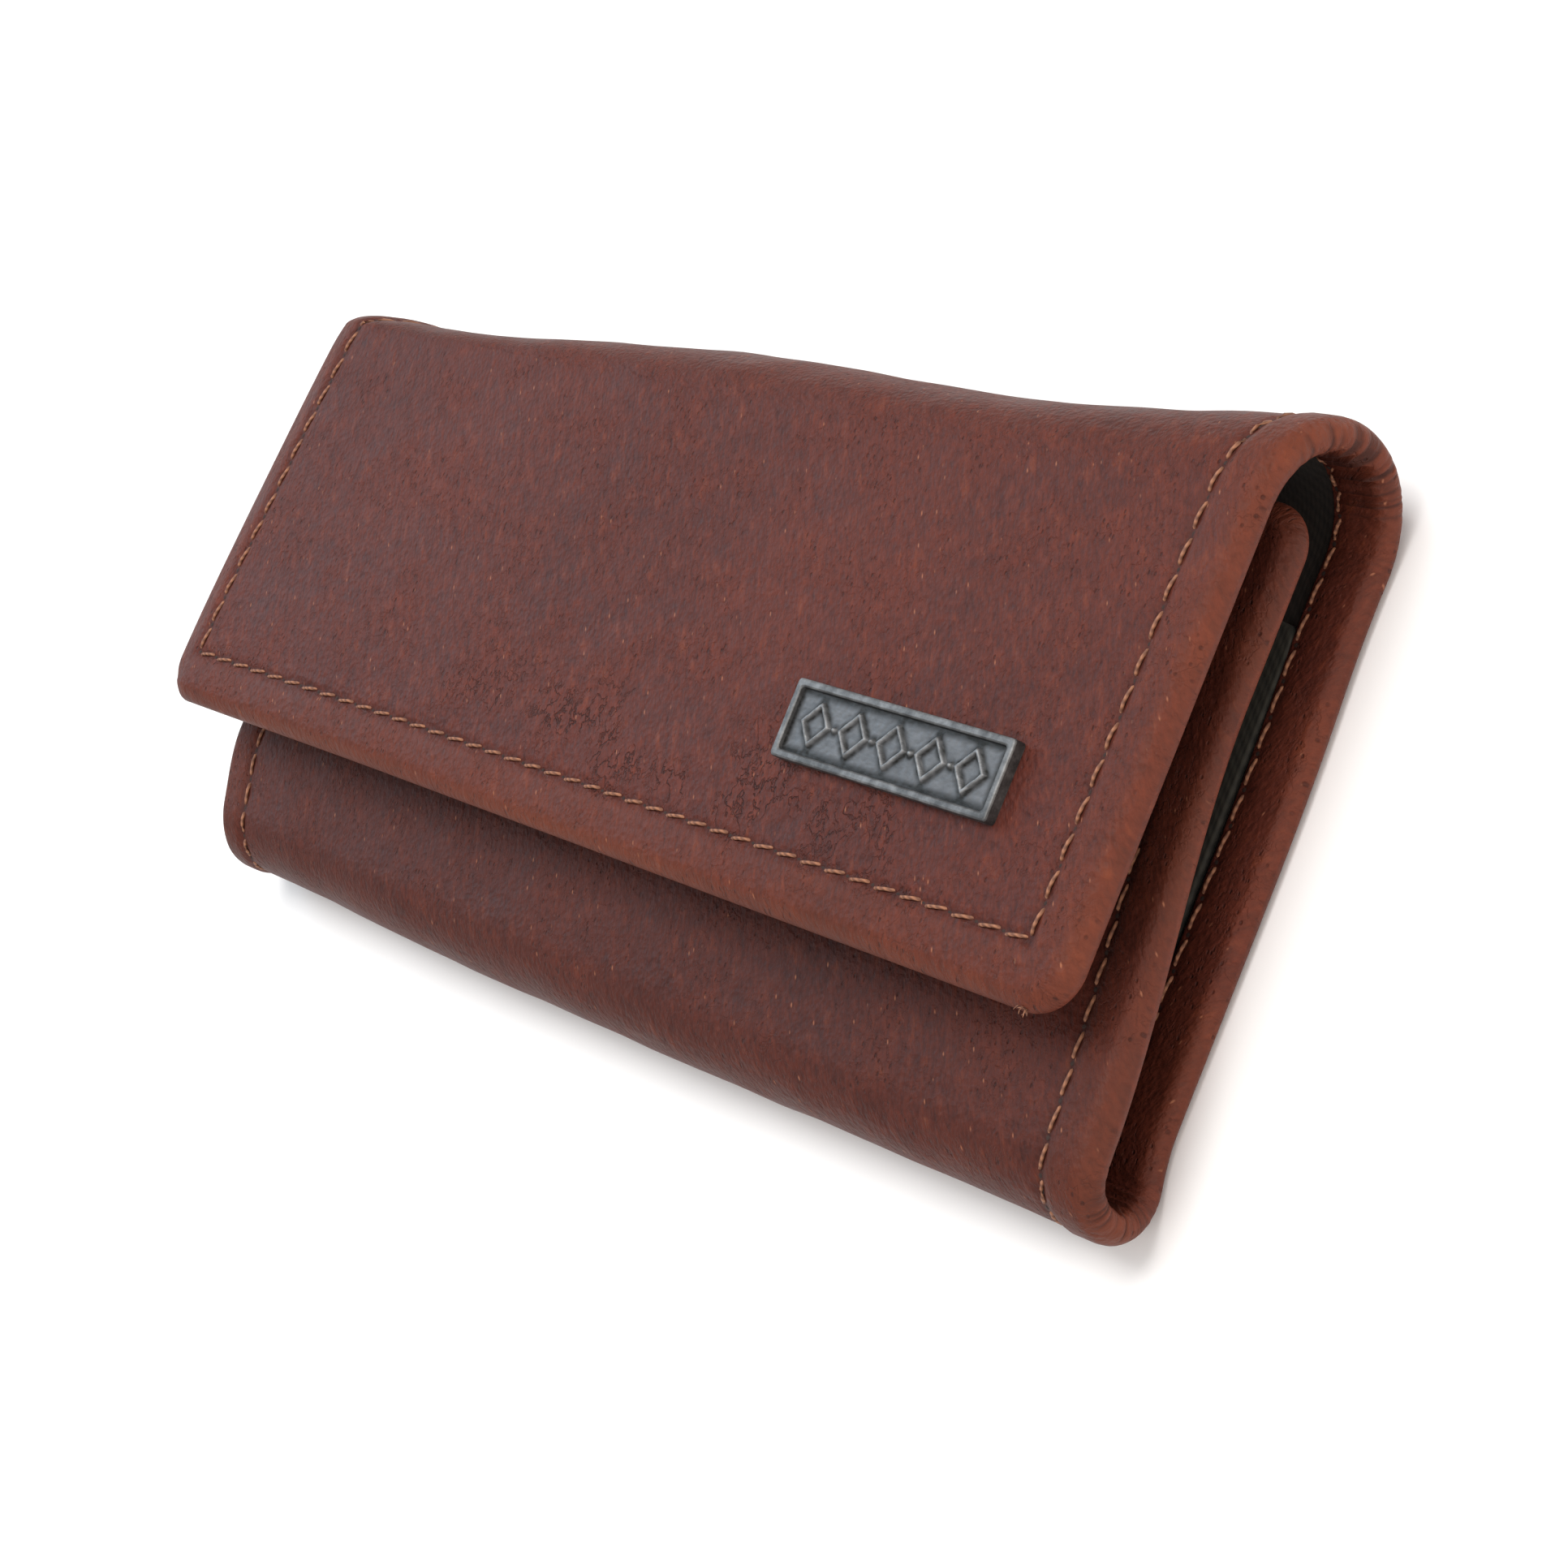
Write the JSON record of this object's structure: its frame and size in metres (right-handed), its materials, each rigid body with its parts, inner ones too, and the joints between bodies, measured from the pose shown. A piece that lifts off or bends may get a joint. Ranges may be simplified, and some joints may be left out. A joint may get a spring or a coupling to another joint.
{
  "type": "trifold wallet",
  "caption": "Long trifold clutch wallet: leather shell folded in three, snap flap with metal plate, card rows, banknote and zipped coin pockets inside.",
  "frame": {"origin": "centre of the footprint on the surface the wallet lies on", "axes": "+X along the length towards the plate end, +Y towards the top fold, +Z out of the back panel towards the flap"},
  "size_m": [0.19, 0.094, 0.0288],
  "materials": {
    "leather": "oiled pull-up leather, fine grain",
    "lining": "dark twill lining",
    "tape": "woven zip tape",
    "board": "bonded fibre board",
    "nickel": "nickel plated",
    "pewter": "antique pewter",
    "thread": "waxed thread",
    "film": "clear vinyl film"
  },
  "bodies": {
    "back": {"back_leather": "leather", "back_board": "board", "back_lining": "lining", "note_pocket": "lining", "coin_pouch": "lining", "coin_facing": "leather", "zip_tape_upper": "tape", "zip_tape_lower": "tape", "zip_teeth_upper": "nickel", "zip_teeth_lower": "nickel", "zip_stops": "nickel"},
    "slider": {"zip_slider": "nickel", "zip_puller": "nickel"},
    "top_fold": {"top_fold_leather": "leather", "top_fold_lining": "lining"},
    "flap": {"flap_leather": "leather", "flap_board": "board", "flap_lining": "lining", "card_row_back": "leather", "card_row_middle": "leather", "card_row_front": "leather", "snap_socket": "nickel", "snap_socket_washer": "nickel", "name_plate": "pewter", "name_plate_washer": "nickel"},
    "bottom_fold": {"bottom_fold_leather": "leather", "bottom_fold_lining": "lining"},
    "front": {"front_leather": "leather", "front_board": "board", "front_lining": "lining", "window_pocket": "leather", "id_window": "film", "snap_stud": "nickel", "snap_stud_washer": "nickel"}
  },
  "joints": [
    {"name": "flap_crease_back", "type": "hinge", "parent": "back", "child": "top_fold", "pos_m": [0, 0.0441, 0.0029], "axis": [-1, 0, 0], "range_deg": [0, 90]},
    {"name": "flap_crease_front", "type": "hinge", "parent": "top_fold", "child": "flap", "pos_m": [0, 0.0441, 0.0241], "axis": [-1, 0, 0], "range_deg": [0, 90]},
    {"name": "front_crease_back", "type": "hinge", "parent": "back", "child": "bottom_fold", "pos_m": [0, -0.04528, 0.00172], "axis": [1, 0, 0], "range_deg": [0, 27]},
    {"name": "front_crease_front", "type": "hinge", "parent": "bottom_fold", "child": "front", "pos_m": [0, -0.04528, 0.01428], "axis": [1, 0, 0], "range_deg": [0, 27]},
    {"name": "zip_slide", "type": "slide", "parent": "back", "child": "slider", "axis": [1, 0, 0], "range_m": [0, 0.125]}
  ],
  "couplings": [
    {"joint": "flap_crease_front", "follows": "flap_crease_back", "ratio": 1},
    {"joint": "front_crease_back", "follows": "flap_crease_back", "ratio": 0.3},
    {"joint": "front_crease_front", "follows": "flap_crease_back", "ratio": 0.3}
  ]
}
